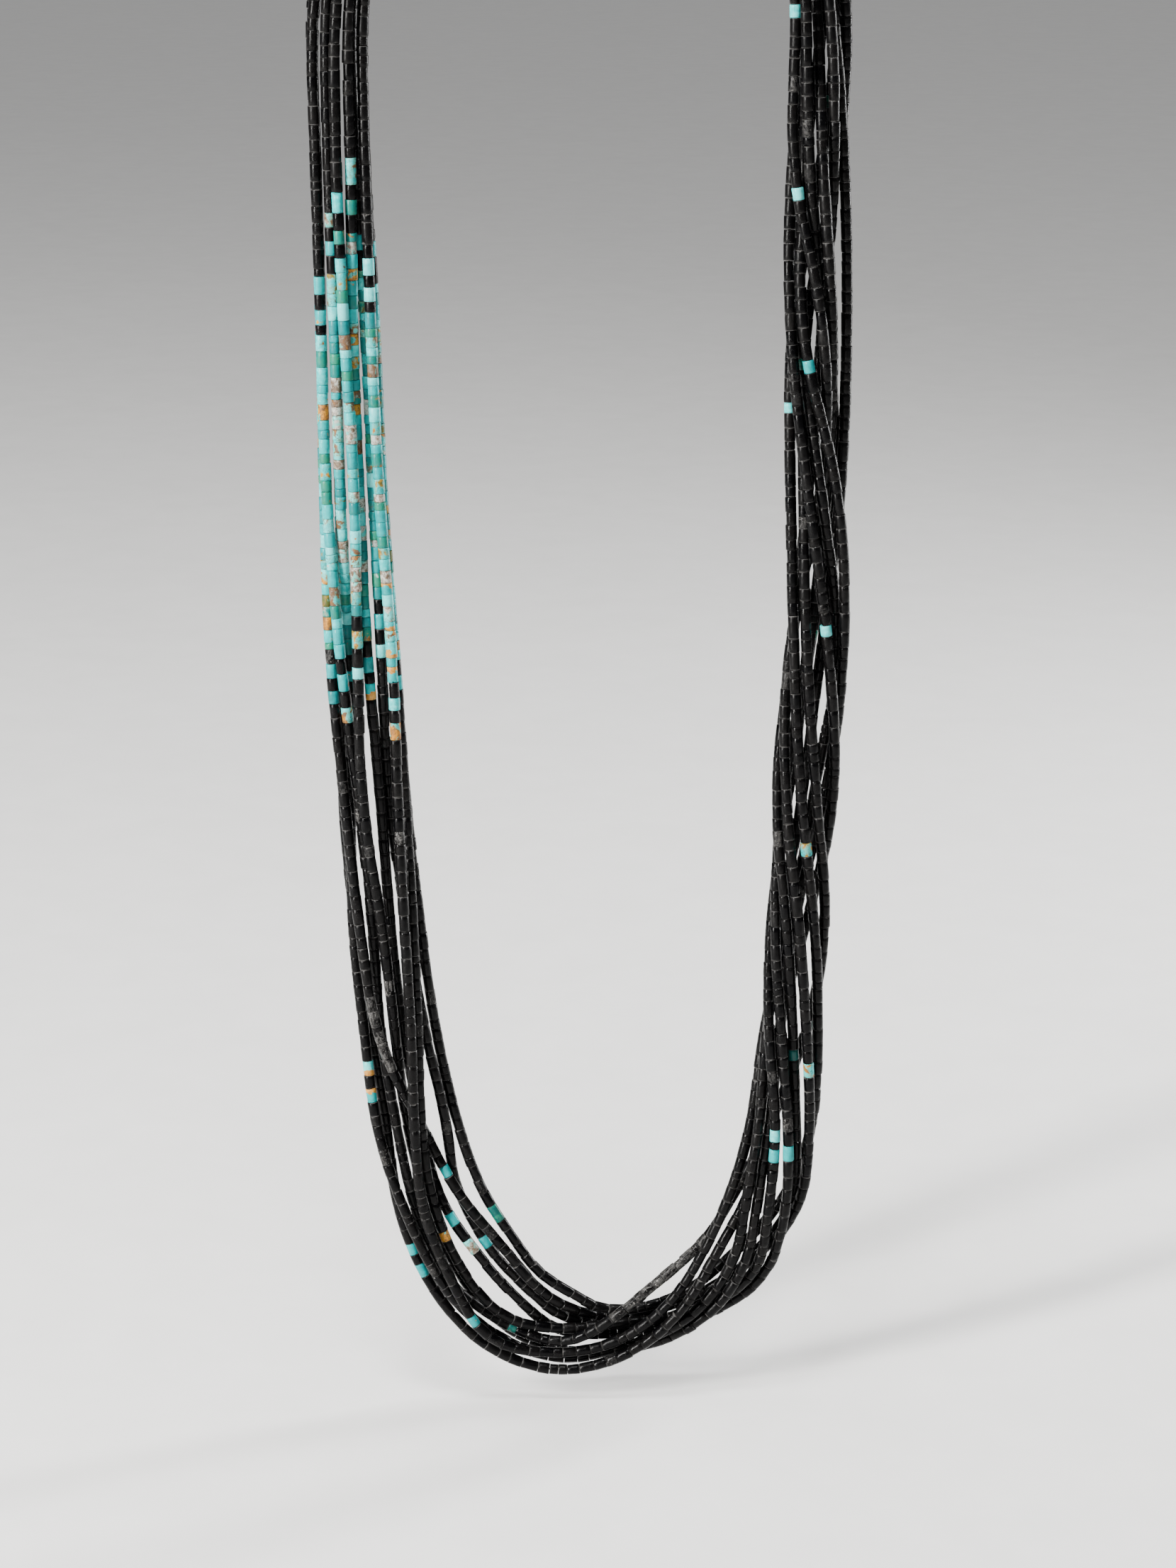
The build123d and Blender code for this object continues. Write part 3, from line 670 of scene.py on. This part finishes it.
def bead_faces(count):
    """The quads of many beads, from each ring to the next and through the hole from the last to the first."""
    ring = np.arange(len(RING_ENDS))[:, None]
    next_ring = (ring + 1) % len(RING_ENDS)
    corner = np.arange(SIDES)[None, :]
    next_corner = (corner + 1) % SIDES
    quads = np.stack([
        ring * SIDES + corner,
        ring * SIDES + next_corner,
        next_ring * SIDES + next_corner,
        next_ring * SIDES + corner,
    ], axis=-1).reshape(-1, 4)
    return (quads[None] + (np.arange(count) * BEAD_POINTS)[:, None, None]).reshape(-1, 4)


def bead_mesh(name, line, beads, rng):
    """One mesh of drilled beads, each with its own size, place off the line, uneven ends and chips."""
    count = len(beads)
    starts = np.array([line.at(bead.start) for bead in beads])
    ends = np.array([line.at(bead.end) for bead in beads])
    bend = np.array([line.bend_at((bead.start + bead.end) / 2) for bead in beads])
    chord = np.linalg.norm(ends - starts, axis=1)
    axis, side, front = ways_round(ends - starts)

    radius = np.clip(rng.normal(BEAD_RADIUS, RADIUS_SPREAD, count), LEAST_RADIUS, LARGEST_RADIUS) * MM
    gap = JOINT_GAP * MM + (1 - MITRE_SHARE) * radius * np.linalg.norm(bend, axis=1) * chord
    half = (chord - gap) / 2
    slack = (bead_diameter * MM / 2 - radius) * rng.uniform(0.0, OFF_LINE, count)
    slack_way = rng.uniform(0, 2 * math.pi, count)
    middle = (starts + ends) / 2
    middle += (slack * np.cos(slack_way))[:, None] * side + (slack * np.sin(slack_way))[:, None] * front

    across, lengthwise = bead_rings(radius, half, rng)
    flat_side = across * np.cos(corner_angles(SIDES))
    flat_front = across * np.sin(corner_angles(SIDES))
    mitre = (bend * side).sum(axis=1)[:, None, None] * flat_side
    mitre += (bend * front).sum(axis=1)[:, None, None] * flat_front
    mitre *= MITRE_SHARE * chord[:, None, None] / 2
    lengthwise -= mitre * np.array(RING_ENDS)[:, None]
    places = (
        middle[:, None, None, :]
        + flat_side[..., None] * side[:, None, None, :]
        + flat_front[..., None] * front[:, None, None, :]
        + lengthwise[..., None] * axis[:, None, None, :]
    )
    spread = rng.uniform(-GRAIN_REACH, GRAIN_REACH, (count, 3))
    grain = np.stack([flat_side, flat_front, lengthwise], axis=-1) / MM + spread[:, None, None, :]
    values = {
        "grain": grain.reshape(-1, 3),
        "lengthwise": (lengthwise / half[:, None, None]).reshape(-1),
        "edge": np.tile(on_rings(RIM_RINGS), count),
    }
    smooth = np.tile(on_rings(SMOOTH_RINGS), count)
    return quad_mesh(name, places.reshape(-1, 3), bead_faces(count), smooth, values)


def quad_mesh(name, places, faces, smooth, values):
    """A mesh of quads with its attributes."""
    mesh = bpy.data.meshes.new(name)
    mesh.vertices.add(len(places))
    mesh.vertices.foreach_set("co", places.astype(np.float32).ravel())
    mesh.loops.add(faces.size)
    mesh.loops.foreach_set("vertex_index", faces.astype(np.int32).ravel())
    mesh.polygons.add(len(faces))
    mesh.polygons.foreach_set("loop_start", np.arange(0, faces.size, 4, dtype=np.int32))
    mesh.polygons.foreach_set("use_smooth", smooth)
    mesh.update(calc_edges=True)
    mesh.validate()
    for key, value in values.items():
        set_attribute(mesh, key, value)
    return mesh


def set_attribute(mesh, key, value):
    """Give each point of a mesh its number or its vector."""
    vector = value.ndim == 2
    attribute = mesh.attributes.new(key, "FLOAT_VECTOR" if vector else "FLOAT", "POINT")
    attribute.data.foreach_set("vector" if vector else "value", value.astype(np.float32).ravel())


def tube_mesh(name, points, radius, sides):
    """A closed tube along points."""
    _, side, front = ways_round(np.gradient(points, axis=0))
    angle = corner_angles(sides)
    places = (
        points[:, None, :]
        + radius * np.cos(angle)[None, :, None] * side[:, None, :]
        + radius * np.sin(angle)[None, :, None] * front[:, None, :]
    )
    count = len(points)
    ring = np.arange(count - 1)[:, None] * sides
    corner = np.arange(sides)[None, :]
    after = (corner + 1) % sides
    faces = np.stack([ring + corner, ring + after, ring + sides + after, ring + sides + corner], axis=-1)
    mesh = bpy.data.meshes.new(name)
    caps = [list(range(sides))[::-1], [(count - 1) * sides + k for k in range(sides)]]
    mesh.from_pydata(places.reshape(-1, 3).tolist(), [], faces.reshape(-1, 4).tolist() + caps)
    mesh.polygons.foreach_set("use_smooth", [len(face.vertices) == 4 for face in mesh.polygons])
    mesh.update()
    return mesh


class Nodes:
    """Short calls that build one material's nodes."""

    def __init__(self, name):
        self.material = bpy.data.materials.new(name)
        self.material.use_nodes = True
        self.tree = self.material.node_tree
        self.shader = self.tree.nodes["Principled BSDF"]

    def feed(self, socket, value):
        if isinstance(value, bpy.types.NodeSocket):
            self.tree.links.new(value, socket)
        else:
            socket.default_value = value

    def attribute(self, name, output="Fac"):
        node = self.tree.nodes.new("ShaderNodeAttribute")
        node.attribute_name = name
        return node.outputs[output]

    def object_place(self):
        return self.tree.nodes.new("ShaderNodeTexCoord").outputs["Object"]

    def math(self, operation, first, second=0.0, clamp=False):
        node = self.tree.nodes.new("ShaderNodeMath")
        node.operation = operation
        node.use_clamp = clamp
        self.feed(node.inputs[0], first)
        self.feed(node.inputs[1], second)
        return node.outputs[0]

    def scaled(self, vector, factors):
        node = self.tree.nodes.new("ShaderNodeVectorMath")
        node.operation = "MULTIPLY"
        self.feed(node.inputs[0], vector)
        node.inputs[1].default_value = factors
        return node.outputs[0]

    def noise(self, vector, scale, detail=3.0, roughness=0.55, distortion=0.0):
        node = self.tree.nodes.new("ShaderNodeTexNoise")
        self.feed(node.inputs["Vector"], vector)
        node.inputs["Scale"].default_value = scale
        node.inputs["Detail"].default_value = detail
        node.inputs["Roughness"].default_value = roughness
        node.inputs["Distortion"].default_value = distortion
        return node.outputs["Fac"]

    def step(self, value, low, high, start=0.0, end=1.0):
        """start where value is at low or under, end at high or over, and smooth between."""
        node = self.tree.nodes.new("ShaderNodeMapRange")
        node.interpolation_type = "SMOOTHSTEP"
        self.feed(node.inputs["Value"], value)
        for key, number in (("From Min", low), ("From Max", high), ("To Min", start), ("To Max", end)):
            self.feed(node.inputs[key], number)
        return node.outputs["Result"]

    def mix(self, factor, first, second):
        node = self.tree.nodes.new("ShaderNodeMix")
        node.data_type = "RGBA"
        self.feed(node.inputs["Factor"], factor)
        sockets = [socket for socket in node.inputs if socket.type == "RGBA"]
        for socket, colour in zip(sockets, (first, second)):
            self.feed(socket, colour if isinstance(colour, bpy.types.NodeSocket) else (*colour, 1.0))
        return next(socket for socket in node.outputs if socket.type == "RGBA")

    def ramp(self, value, stops):
        node = self.tree.nodes.new("ShaderNodeValToRGB")
        self.feed(node.inputs["Fac"], value)
        elements = node.color_ramp.elements
        while len(elements) < len(stops):
            elements.new(0.5)
        for element, (place, colour) in zip(elements, stops):
            element.position = place
            element.color = (*colour, 1.0)
        return node.outputs["Color"]

    def bump(self, height, distance, strength=1.0):
        node = self.tree.nodes.new("ShaderNodeBump")
        node.inputs["Strength"].default_value = strength
        node.inputs["Distance"].default_value = distance
        self.feed(node.inputs["Height"], height)
        self.feed(self.shader.inputs["Normal"], node.outputs["Normal"])


def jet_material():
    """Near-black jet: satin, with fine streaks, pits and dust, paler where it is worn, and paler rims that
    are partly rim wear and partly a painted glint.
    """
    blackest = (0.0004, 0.0004, 0.0006)
    black = (0.0036, 0.0032, 0.0030)
    dust_grey = (0.055, 0.052, 0.05)
    rim_wear_and_glint_grey = (0.06, 0.058, 0.056)
    worn_dark = (0.012, 0.012, 0.013)
    worn_grey = (0.10, 0.097, 0.093)
    fleck_grey = (0.24, 0.23, 0.215)
    n = Nodes("jet")
    grain = n.attribute("grain", "Vector")
    shade = n.attribute("shade")
    wear = n.attribute("wear")
    gloss = n.attribute("gloss")
    edge = n.attribute("edge")
    cloud = n.noise(grain, 0.9, 4)
    speck = n.noise(grain, 9.0, 3, 0.65)
    streak = n.noise(n.scaled(grain, (5.0, 5.0, 0.7)), 1.6, 3, 0.6)
    pit = n.noise(grain, 3.2, 3, 0.7, 0.4)

    body = n.mix(n.math("MULTIPLY", shade, cloud), blackest, black)
    dust = n.math("MULTIPLY", n.step(speck, 0.60, 0.72), n.step(shade, 0.1, 0.9, 0.06, 0.36))
    body = n.mix(dust, body, dust_grey)
    # Paler rims, partly rim wear and partly a painted glint where the rims catch the light
    rim_wear_and_glint = n.math("MULTIPLY", n.step(edge, 0.88, 1.0), n.step(cloud, 0.36, 0.64, 0.1, 1.0))
    rim_wear_and_glint = n.math("MULTIPLY", rim_wear_and_glint, n.step(gloss, 0.3, 0.9, 0.1, 1.0))
    body = n.mix(rim_wear_and_glint, body, rim_wear_and_glint_grey)
    flake = n.noise(n.scaled(grain, (1.0, 1.0, 0.45)), 0.75, 5, 0.72, 0.9)
    worn = n.math("MULTIPLY", wear, n.step(flake, 0.42, 0.60))
    body = n.mix(worn, body, n.ramp(pit, [(0.34, worn_dark), (0.64, worn_grey)]))
    fleck = n.math("MULTIPLY", wear, n.step(n.noise(grain, 2.1, 4, 0.7, 0.6), 0.60, 0.66))
    body = n.mix(fleck, body, fleck_grey)
    n.feed(n.shader.inputs["Base Color"], body)

    rough = n.math("ADD", n.math("MULTIPLY", gloss, 0.17), 0.13)
    rough = n.math("ADD", rough, n.step(streak, 0.35, 0.7, 0.0, 0.10))
    rough = n.math("ADD", rough, n.step(speck, 0.45, 0.65, 0.0, 0.06))
    rough = n.math("ADD", rough, n.math("MULTIPLY", worn, 0.10), clamp=True)
    n.feed(n.shader.inputs["Roughness"], rough)
    n.shader.inputs["Specular IOR Level"].default_value = 0.085
    height = n.math("ADD", n.math("MULTIPLY", streak, 0.35), n.step(pit, 0.28, 0.42))
    height = n.math("ADD", height, n.math("MULTIPLY", worn, 0.5))
    height = n.math("ADD", height, n.math("MULTIPLY", speck, 0.45))
    n.bump(height, distance=0.00003, strength=0.55)
    return n.material


# Turquoise from pale blue to dark green by its tone, whose darkest end also serves as painted shade on the
# dull beads, and the stone in it from grey to olive by its warmth
TURQUOISE_TONES = (
    (0.00, (0.09, 0.46, 0.45)), (0.14, (0.0, 0.31, 0.31)), (0.34, (0.0, 0.21, 0.215)),
    (0.52, (0.0, 0.115, 0.12)), (0.68, (0.0, 0.12, 0.10)), (0.84, (0.01, 0.15, 0.085)),
    (1.00, (0.0, 0.05, 0.045)),
)
MATRIX_STONES = (
    (0.00, (0.22, 0.30, 0.28)), (0.17, (0.34, 0.34, 0.30)), (0.28, (0.15, 0.12, 0.09)),
    (0.42, (0.08, 0.042, 0.02)), (0.56, (0.25, 0.10, 0.012)), (0.68, (0.42, 0.18, 0.018)),
    (0.80, (0.20, 0.12, 0.012)), (1.00, (0.05, 0.065, 0.012)),
)


def turquoise_material():
    """Turquoise whose colour, brown and golden matrix and dark veins differ from bead to bead."""
    deep_blue = (0.0, 0.10, 0.11)
    halo_green = (0.13, 0.28, 0.19)
    stone_dark = (0.05, 0.03, 0.018)
    vein_brown = (0.05, 0.03, 0.015)
    gold_dark = (0.24, 0.09, 0.012)
    gold_pale = (0.46, 0.24, 0.05)
    n = Nodes("turquoise")
    grain = n.attribute("grain", "Vector")
    tone = n.attribute("tone")
    matrix = n.attribute("matrix")
    warmth = n.attribute("warmth")
    band = n.attribute("band")
    cloud = n.noise(grain, 0.8, 4, 0.6, 0.3)
    fine = n.noise(grain, 6.0, 3, 0.6)
    tone = n.math("ADD", tone, n.math("MULTIPLY", n.math("SUBTRACT", cloud, 0.5), 0.45), clamp=True)
    body = n.ramp(tone, TURQUOISE_TONES)
    body = n.mix(n.step(fine, 0.56, 0.72, 0.0, 0.30), body, deep_blue)

    patch_noise = n.noise(grain, 0.46, 4, 0.5, 0.6)
    level = n.math("ADD", patch_noise, n.math("MULTIPLY", matrix, 0.42))
    patch = n.step(level, 0.69, 0.74)
    halo = n.math("MULTIPLY", n.step(level, 0.58, 0.70), n.step(matrix, 0.1, 0.3))
    body = n.mix(n.math("MULTIPLY", halo, 0.6), body, halo_green)
    crumb = n.noise(grain, 0.9, 4, 0.6, 0.5)
    pick = n.math("ADD", warmth, n.math("MULTIPLY", n.math("SUBTRACT", crumb, 0.5), 0.9), clamp=True)
    stone = n.ramp(pick, MATRIX_STONES)
    stone = n.mix(n.step(n.noise(grain, 2.6, 4, 0.65), 0.56, 0.68, 0.0, 0.6), stone, stone_dark)
    body = n.mix(patch, body, stone)
    line = n.math("ABSOLUTE", n.math("SUBTRACT", n.noise(grain, 0.62, 3, 0.5, 1.4), 0.5))
    vein = n.math("MULTIPLY", n.step(line, 0.006, 0.018, 1.0, 0.0), n.step(matrix, 0.18, 0.4))
    body = n.mix(n.math("MULTIPLY", vein, 0.9), body, vein_brown)
    along = n.math("MULTIPLY", n.attribute("lengthwise"), band)
    along = n.math("ADD", along, n.math("MULTIPLY", n.math("SUBTRACT", patch_noise, 0.5), 3.4))
    banded = n.math("MULTIPLY", n.step(along, 0.22, 0.32), n.math("ABSOLUTE", band))
    body = n.mix(banded, body, n.ramp(crumb, [(0.35, gold_dark), (0.65, gold_pale)]))
    n.feed(n.shader.inputs["Base Color"], body)

    rough = n.math("ADD", n.step(cloud, 0.3, 0.7, 0.26, 0.42), n.math("MULTIPLY", patch, 0.16))
    n.feed(n.shader.inputs["Roughness"], rough)
    n.shader.inputs["Specular IOR Level"].default_value = 0.19
    height = n.math("SUBTRACT", n.math("MULTIPLY", fine, 0.3), n.math("MULTIPLY", patch, 0.5))
    height = n.math("SUBTRACT", height, vein)
    n.bump(height, distance=0.00003, strength=0.5)
    return n.material


def thread_material():
    """Dark spun thread."""
    dark = (0.012, 0.010, 0.009)
    pale = (0.05, 0.042, 0.036)
    n = Nodes("thread")
    fibre = n.noise(n.scaled(n.object_place(), (4000.0, 4000.0, 1500.0)), 1.0, 3)
    n.feed(n.shader.inputs["Base Color"], n.ramp(fibre, [(0.3, dark), (0.7, pale)]))
    n.shader.inputs["Roughness"].default_value = 0.7
    n.bump(fibre, distance=0.00004)
    return n.material


def silver_material():
    """Polished silver with fine scratches and a little tarnish."""
    silver = (0.66, 0.65, 0.625)
    tarnished = (0.27, 0.245, 0.21)
    n = Nodes("silver")
    place = n.object_place()
    scratch = n.noise(n.scaled(place, (260.0, 5200.0, 5200.0)), 1.0, 4, 0.65)
    cloud = n.noise(place, 140.0, 4, 0.6)
    tarnish = n.step(cloud, 0.42, 0.66, 0.0, 0.6)
    n.feed(n.shader.inputs["Base Color"], n.mix(tarnish, silver, tarnished))
    n.shader.inputs["Metallic"].default_value = 1.0
    rough = n.math("ADD", n.step(scratch, 0.35, 0.7, 0.16, 0.30), n.math("MULTIPLY", tarnish, 0.2))
    n.feed(n.shader.inputs["Roughness"], rough)
    n.bump(scratch, distance=0.00002, strength=0.35)
    return n.material


def floor_material():
    """A pale matt floor with a faint grain."""
    low = (0.64, 0.635, 0.625)
    high = (0.67, 0.665, 0.655)
    n = Nodes("pale_floor")
    grain = n.noise(n.object_place(), 60.0, 4)
    n.feed(n.shader.inputs["Base Color"], n.ramp(grain, [(0.3, low), (0.7, high)]))
    n.shader.inputs["Roughness"].default_value = 0.85
    return n.material


JET_SKIN = jet_material()
TURQUOISE_SKIN = turquoise_material()
THREAD_SKIN = thread_material()
SILVER_SKIN = silver_material()


class JetLook(NamedTuple):
    """What the jet reads from a bead, each from 0 to 1."""
    shade: float
    wear: float
    gloss: float     # a higher one is rougher


class TurquoiseLook(NamedTuple):
    """What the turquoise reads from a bead."""
    tone: float      # from pale blue to dark green
    matrix: float    # how much other stone it holds
    warmth: float    # that stone's colour, from grey to olive
    band: float      # which end is golden: 1 the far one along the strand, -1 the near one, 0 neither


# The look of each kind of bead, and how much beads of one kind differ
KIND_LOOKS = {
    SKY: TurquoiseLook(0.07, 0.0, 0.5, 0.0),
    CYAN: TurquoiseLook(0.30, 0.03, 0.6, 0.0),
    TEAL: TurquoiseLook(0.50, 0.08, 0.5, 0.0),
    GREEN: TurquoiseLook(0.72, 0.10, 0.6, 0.0),
    # The dull kind's near-black green is painted shade, for turquoise beads in the shadow of the strands in
    # front
    PAINTED_SHADE: TurquoiseLook(0.97, 0.1, 0.4, 0.0),
    SPOTTED: TurquoiseLook(0.18, 0.34, 0.72, 0.0),
    MOTTLED: TurquoiseLook(0.10, 0.40, 0.42, 0.0),
    MARBLED: TurquoiseLook(0.02, 0.60, 0.17, 0.0),
    BROWN: TurquoiseLook(0.10, 0.82, 0.32, 0.0),
    GOLDEN: TurquoiseLook(0.20, 0.72, 0.62, 0.0),
    GOLD_BELOW: TurquoiseLook(0.12, 0.04, 0.6, 1.0),
    GOLD_ABOVE: TurquoiseLook(0.26, 0.04, 0.6, -1.0),
}
KIND_SPREAD = TurquoiseLook(0.035, 0.03, 0.05, 0.0)

# The tones of plain and mixed turquoise beads, and how much other stone mixed ones hold: the share of the
# beads up to each range, and the range's ends
TONE_RANGES = ((0.30, 0.0, 0.25), (0.84, 0.25, 0.6), (1.0, 0.6, 0.84))
MATRIX_RANGES = ((0.70, 0.0, 0.16), (0.91, 0.22, 0.5), (1.0, 0.7, 1.0))
PLAIN_MATRIX = 0.16    # the most that a plain bead has

# How worn jet beads are: the charted ones, those of a worn stretch, and the most that another one may be,
# with the power that keeps such a bead rare
CHARTED_WEAR = (0.75, 1.0)
STRETCH_WEAR = (0.35, 0.8)
LARGEST_RARE_WEAR = 0.6
RARITY = 55

# With the strand's number added, this seeds the draws for the shapes and looks of its beads
SEED = 1000


def jet_look(bead, worn_stretch, rng):
    if bead.kind == WORN:
        wear = rng.uniform(*CHARTED_WEAR)
    else:
        wear = LARGEST_RARE_WEAR * rng.uniform(0, 1) ** RARITY
    if worn_stretch and worn_stretch[0] < bead.start < worn_stretch[1]:
        wear = max(wear, rng.uniform(*STRETCH_WEAR))
    return JetLook(rng.uniform(0, 1), wear, rng.uniform(0, 1))


def from_ranges(ranges, rng):
    """A value from one of the ranges."""
    chosen = rng.uniform()
    low, high = next((low, high) for share, low, high in ranges if chosen <= share)
    return rng.uniform(low, high)


def turquoise_look(bead, rng):
    if bead.kind in KIND_LOOKS:
        return np.array(KIND_LOOKS[bead.kind]) + rng.normal(0, 1, len(KIND_SPREAD)) * KIND_SPREAD
    tone = from_ranges(TONE_RANGES, rng)
    matrix = from_ranges(MATRIX_RANGES, rng) if bead.kind == MIXED else rng.uniform(0, PLAIN_MATRIX)
    return TurquoiseLook(tone, matrix, rng.uniform(0, 1), 0.0)


def dress(mesh, looks, fields):
    """Give all the points of each bead its look."""
    table = np.repeat(np.array(looks), BEAD_POINTS, axis=0)
    for column, field in enumerate(fields):
        set_attribute(mesh, field, table[:, column])


def add_piece(mesh, skin, slot, *nodes):
    """Put a mesh in the scene as a piece of the necklace, in place of the nodes named."""
    mesh.materials.append(skin)
    piece = bpy.data.objects.new(mesh.name, mesh)
    bpy.context.scene.collection.objects.link(piece)
    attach(piece, "root")
    if nodes:
        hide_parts(*nodes)


def add_strand(number, line):
    """One strand: its jet beads, its turquoise stretch, its single turquoise beads and its thread."""
    name = f"strand_{number:02d}"
    rng = np.random.default_rng(SEED + number)
    beads = strand_beads(number, line, random.Random(f"strand {number}"))
    top = line.left_leg_at_row(PATTERN_ABOVE[number - 1][-1])
    end = line.left_leg_at_row(PATTERN_BELOW[number - 1][0])
    dark = [bead for bead in beads if bead.kind in DARK_KINDS]
    coloured = [bead for bead in beads if bead.kind not in DARK_KINDS]
    stretch = [bead for bead in coloured if top - MM < bead.start and bead.end < end + MM]
    single = [bead for bead in coloured if bead not in stretch]

    worn_stretch = [line.nearest(*pixel) for pixel in WORN_STRETCHES.get(number, ())]
    mesh = bead_mesh(f"{name}_jet_beads", line, dark, rng)
    dress(mesh, [jet_look(bead, worn_stretch, rng) for bead in dark], JetLook._fields)
    add_piece(mesh, JET_SKIN, "jet", f"{name}_jet")

    for label, chosen, nodes in (("turquoise", stretch, [f"{name}_turquoise"]), ("single", single, [])):
        mesh = bead_mesh(f"{name}_{label}_beads", line, chosen, rng)
        dress(mesh, [turquoise_look(bead, rng) for bead in chosen], TurquoiseLook._fields)
        add_piece(mesh, TURQUOISE_SKIN, "turquoise", *nodes)

    thread = tube_mesh(f"{name}_thread", line.points[::THREAD_STEP], THREAD_RADIUS * MM, THREAD_SIDES)
    add_piece(thread, THREAD_SKIN, "jet")


for number, line in enumerate(lines, start=1):
    add_strand(number, line)

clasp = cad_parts["clasp"]
clasp.data.materials.clear()
clasp.data.materials.append(SILVER_SKIN)

# The floor, below the lowest beads, and the lights round the middle of the necklace
FLOOR_DROP = 0.006
FLOOR_HALF = 9.0
MIDDLE = Vector((0.0, 0.0, -0.18))
WHITE = (1.0, 1.0, 1.0)
WARM_WHITE = (1.0, 0.985, 0.96)
COOL_WHITE = (0.95, 0.97, 1.0)
SKY_STRENGTH = 1.1
SKY_SPREAD = math.radians(40)
SKY_TILT = (math.radians(-12), math.radians(-15), 0)
WORLD_GREY = (0.80, 0.81, 0.83, 1.0)
WORLD_STRENGTH = 0.20


def add_floor():
    """A plain pale floor."""
    height = cad_low.z - FLOOR_DROP
    corners = [(x * FLOOR_HALF, y * FLOOR_HALF, height) for x, y in ((-1, -1), (1, -1), (1, 1), (-1, 1))]
    mesh = bpy.data.meshes.new("floor")
    mesh.from_pydata(corners, [], [(0, 1, 2, 3)])
    mesh.materials.append(floor_material())
    floor = bpy.data.objects.new("floor", mesh)
    bpy.context.scene.collection.objects.link(floor)


def add_light(name, place, width, height, watts, colour=WHITE):
    """A soft rectangular light that faces the middle of the necklace."""
    data = bpy.data.lights.new(name, "AREA")
    data.shape = "RECTANGLE"
    data.size = width
    data.size_y = height
    data.energy = watts
    data.color = colour
    light = bpy.data.objects.new(name, data)
    light.location = place
    light.rotation_euler = (MIDDLE - Vector(place)).to_track_quat("-Z", "Y").to_euler()
    bpy.context.scene.collection.objects.link(light)


def add_sky():
    """A wide, soft light from overhead, and an even grey world."""
    data = bpy.data.lights.new("sky", "SUN")
    data.energy = SKY_STRENGTH
    data.angle = SKY_SPREAD
    sky = bpy.data.objects.new("sky", data)
    sky.rotation_euler = SKY_TILT
    bpy.context.scene.collection.objects.link(sky)
    world = bpy.data.worlds.new("studio")
    world.use_nodes = True
    background = world.node_tree.nodes["Background"]
    background.inputs["Color"].default_value = WORLD_GREY
    background.inputs["Strength"].default_value = WORLD_STRENGTH
    bpy.context.scene.world = world


add_floor()
add_light("key", (-0.85, -0.66, 0.22), width=0.12, height=0.9, watts=58.0, colour=WARM_WHITE)
add_light("top", (-0.12, -0.26, 0.95), width=0.24, height=0.20, watts=14.0)
add_light("fill", (1.1, -0.9, 0.2), width=0.8, height=0.9, watts=0.5, colour=COOL_WHITE)
add_light("rim", (0.75, 0.42, 0.10), width=0.12, height=0.9, watts=20.0)
add_sky()
